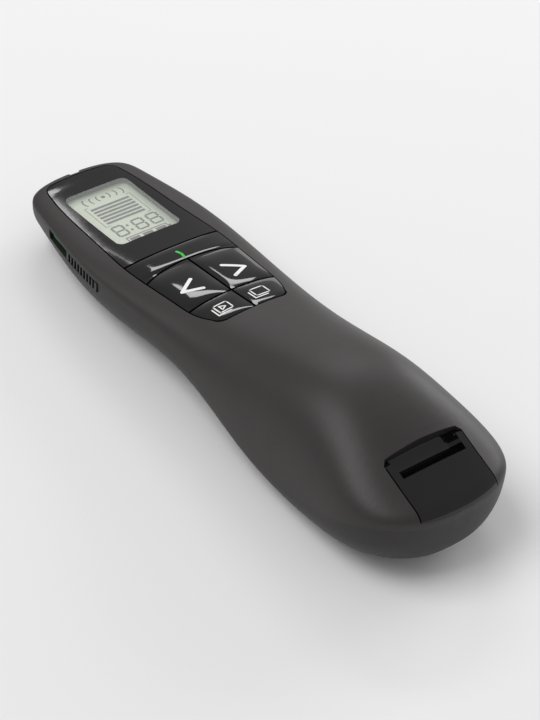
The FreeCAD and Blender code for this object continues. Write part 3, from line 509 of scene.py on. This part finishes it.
@dataclass
class Display:
    """The timer display: clear lens, grey-green cell, and its segments."""

    digit_width: float = 2.4
    digit_height: float = 3.7
    digit_base: float = 39.8
    digit_lefts: tuple[float, ...] = (-4.5, 0.45, 4.15)
    colon_x: float = -0.95
    colon_radius: float = 0.34
    wave_middle: tuple[float, float] = (0.95, 54.4)
    bar_top: float = 51.4
    bar_pitch: float = 1.19
    bar_count: int = 6
    cell_first: float = -2.2
    cell_pitch: float = 3.3
    cell_count: int = 3

    def build(self) -> None:
        """Dress the display's parts and draw its segments."""
        dress("display_lens", CLEAR_LENS)
        dress("display_glass", DISPLAY_GREY)
        dress("display_tray", PALE_TRAY)
        dress("display_connector", ELASTOMER)
        self.draw_signal()
        self.draw_gauge()
        self.draw_digits()
        self.draw_battery()

    def segments(self, name: str, width: float) -> Mark:
        """Start a set of segments on the display's glass.

        Args:
            name: The set's name.
            width: The width of its strokes in millimetres.

        Returns:
            The empty mark.
        """
        return Mark(name, "display_glass", "housing", DISPLAY_DARK, width, Height.SEGMENT)

    def draw_signal(self) -> None:
        """Draw the three waves on each side of a dot."""
        mark = self.segments("display_waves", 0.32)
        x, y = self.wave_middle
        mark.dot(x, y, 0.5)
        for reach, radius in ((1.6, 1.3), (3.3, 1.5), (5.0, 1.8)):
            mark.line(arc((x + reach - radius, y), radius, -40, 40, 5))
            mark.line(arc((x - reach + radius, y), radius, 140, 220, 5))
        mark.lay()

    def draw_gauge(self) -> None:
        """Draw the six long bars in their thin bracket."""
        bars = self.segments("display_bars", 0.72)
        for k in range(self.bar_count):
            y = self.bar_top - self.bar_pitch * k
            bars.stroke((-4.15, y), (5.6, y))
        bars.lay()
        bracket = self.segments("display_bracket", 0.16)
        bracket.line([(-4.2, 52.6), (-5.0, 52.6), (-5.0, 44.4), (-3.9, 44.4)])
        bracket.line([(5.6, 52.6), (6.5, 52.6), (6.5, 44.4), (5.5, 44.4)])
        bracket.lay()

    def draw_digits(self) -> None:
        """Draw the figures 8:88 in seven-segment form."""
        mark = self.segments("display_digits", 0.5)
        wide = self.digit_width
        high = self.digit_height
        base = self.digit_base
        for left in self.digit_lefts:
            for y in (base, base + high / 2, base + high):
                mark.stroke((left + 0.1, y), (left + wide - 0.1, y))
            for x in (left, left + wide):
                mark.stroke((x, base + 0.1), (x, base + high / 2 - 0.15))
                mark.stroke((x, base + high / 2 + 0.15), (x, base + high - 0.1))
        mark.dot(self.colon_x, base + high * 0.25, self.colon_radius)
        mark.dot(self.colon_x, base + high * 0.75, self.colon_radius)
        mark.lay()

    def draw_battery(self) -> None:
        """Draw the battery outline with its cells."""
        mark = self.segments("display_battery", 0.28)
        mark.line([(-3.9, 36.2), (6.1, 36.2), (6.1, 38.7), (-3.9, 38.7)], closed=True)
        mark.stroke((6.55, 36.9), (6.55, 38.0), 0.5)
        for k in range(self.cell_count):
            x = self.cell_first + self.cell_pitch * k
            mark.stroke((x - 1.25, 37.45), (x + 1.25, 37.45), 1.7)
        mark.lay()


@dataclass
class SideControls:
    """The power slider with its green mark, and the timer keys."""

    timer: tuple[str, ...] = ("timer_minus", "timer_plus", "timer_start")

    def build(self) -> None:
        """Dress the slider, switches and side keys."""
        dress("power_slider", NYLON)
        dress("power_lever", NYLON)
        dress("power_mark", GREEN_LABEL)
        dress("power_switch", STEEL)
        for name in self.timer:
            dress(name + "_key", NYLON)
            dress(name + "_plunger", NYLON)
        dress("side_switches", STEEL)


@dataclass
class Inside:
    """Circuit board, switches, laser, motor and cells."""

    finishes: dict = field(default_factory=lambda: {
        "circuit_board": SOLDER_MASK, "key_switches": STEEL, "key_frame": NYLON,
        "laser_barrel": BRASS, "laser_lens": RED_WINDOW, "laser_window": RED_WINDOW,
        "vibration_motor": NICKEL, "motor_shaft": STEEL, "motor_weight": BRASS,
        "batteries": CELL_WRAP, "battery_contacts": NICKEL, "battery_springs": NICKEL,
        "laser_plunger": NYLON, "previous_plunger": NYLON, "next_plunger": NYLON,
        "slideshow_plunger": NYLON, "blank_screen_plunger": NYLON})

    def build(self) -> None:
        """Dress the inner pieces."""
        for name, finish in self.finishes.items():
            dress(name, finish)


@dataclass
class Receiver:
    """The receiver stick stored in the tail."""

    def build(self) -> None:
        """Dress the receiver's pieces."""
        dress("receiver_body", PIANO_BLACK)
        dress("receiver_board", SOLDER_MASK)
        dress("plug_sleeve", NICKEL)
        dress("plug_tongue", NYLON)
        dress("plug_contacts", GOLD_PLATE)


@dataclass(frozen=True)
class Lamp:
    """One soft rectangular lamp: its stand from the point it faces and its sides in metres, and its watts."""

    name: str
    stand: tuple[float, float, float]
    sides: tuple[float, float]
    power: float

    def face(self, aim: Vector) -> None:
        """Set the lamp up.

        Args:
            aim: The point it faces.
        """
        lamp = bpy.data.lights.new(self.name, "AREA")
        lamp.shape = "RECTANGLE"
        lamp.size = self.sides[0]
        lamp.size_y = self.sides[1]
        lamp.energy = self.power
        place = aim + Vector(self.stand)
        holder = bpy.data.objects.new(self.name, lamp)
        holder.location = place
        holder.rotation_euler = (aim - place).to_track_quat("-Z", "Y").to_euler()
        bpy.context.scene.collection.objects.link(holder)


@dataclass
class Studio:
    """Floor, light and the camera at the photograph's angle."""

    azimuth: float = 41.02
    elevation: float = 40.86
    roll: float = 5.65
    distance: float = 0.47004
    target: tuple[float, float, float] = (-0.00109, -0.0074, 0.01174)
    lens: float = 118.32
    floor_colour: str = "efefef"
    floor_side: float = 6.0
    floor_roughness: float = 0.9
    surround: float = 0.46
    keys: tuple[float, float, float] = (0.0, 0.021, 0.024)
    key_light: Lamp = Lamp("key_light", (-1.1, 0.5, 1.9), (1.4, 1.4), 24.5)
    key_gloss: Lamp = Lamp("key_gloss", (0.40, 0.54, 0.50), (0.36, 0.11), 0.9)
    right_card: Lamp = Lamp("right_card", (1.0, 0.22, 0.34), (0.6, 0.4), 3.6)

    def axes(self) -> tuple[Vector, Vector, Vector]:
        """Work out the camera's directions.

        Returns:
            Its right, up and forward directions.
        """
        turn = math.radians(self.azimuth)
        dip = math.radians(self.elevation)
        forward = Vector((math.sin(turn) * math.cos(dip), math.cos(turn) * math.cos(dip), -math.sin(dip)))
        level = Vector((math.cos(turn), -math.sin(turn), 0.0))
        upright = level.cross(forward)
        tilt = math.radians(self.roll)
        right = math.cos(tilt) * level + math.sin(tilt) * upright
        up = -math.sin(tilt) * level + math.cos(tilt) * upright
        return right, up, forward

    def build(self) -> None:
        """Make the floor, world, lamps and camera."""
        self.make_floor()
        self.make_world()
        right, up, forward = self.axes()
        aim = Vector(self.target)
        self.key_light.face(aim)
        self.key_gloss.face(Vector(self.keys))
        self.right_card.face(aim)
        self.make_camera(right, up, forward, aim)

    def make_floor(self) -> None:
        """Make the pale floor."""
        deselect()
        bpy.ops.mesh.primitive_plane_add(size=self.floor_side, location=(0, 0, 0))
        floor = bpy.context.object
        floor.name = "floor"
        material = bpy.data.materials.new("pale_paper")
        material.use_nodes = True
        shader = material.node_tree.nodes["Principled BSDF"]
        shader.inputs["Base Color"].default_value = linear(self.floor_colour)
        shader.inputs["Roughness"].default_value = self.floor_roughness
        floor.data.materials.append(material)

    def make_world(self) -> None:
        """Make the soft white surround."""
        world = bpy.data.worlds.new("studio")
        world.use_nodes = True
        back = world.node_tree.nodes["Background"]
        back.inputs["Color"].default_value = (1.0, 1.0, 1.0, 1.0)
        back.inputs["Strength"].default_value = self.surround
        bpy.context.scene.world = world

    def make_camera(self, right: Vector, up: Vector, forward: Vector, aim: Vector) -> None:
        """Make the camera.

        Args:
            right: Its direction to the right.
            up: Its upward direction.
            forward: The direction it looks in.
            aim: The point it looks at.
        """
        camera = bpy.data.cameras.new("photo_camera")
        camera.lens = self.lens
        camera.sensor_width = 36.0
        camera.clip_start = 0.01
        holder = bpy.data.objects.new("photo_camera", camera)
        place = aim - forward * self.distance
        columns = Matrix((right, up, -forward)).transposed().to_4x4()
        columns.translation = place
        holder.matrix_world = columns
        bpy.context.scene.collection.objects.link(holder)
        bpy.context.scene.camera = holder


def main() -> None:
    """Build every sub-assembly in order, and log each one."""
    logging.basicConfig(level=logging.INFO, format="%(message)s")
    bpy.context.scene.view_settings.view_transform = "Standard"
    for part in (Housing(), Keypad(), Display(), SideControls(), Inside(), Receiver(), Studio()):
        part.build()
        LOG.info("built %s", type(part).__name__)


if __name__ == "__main__":
    main()
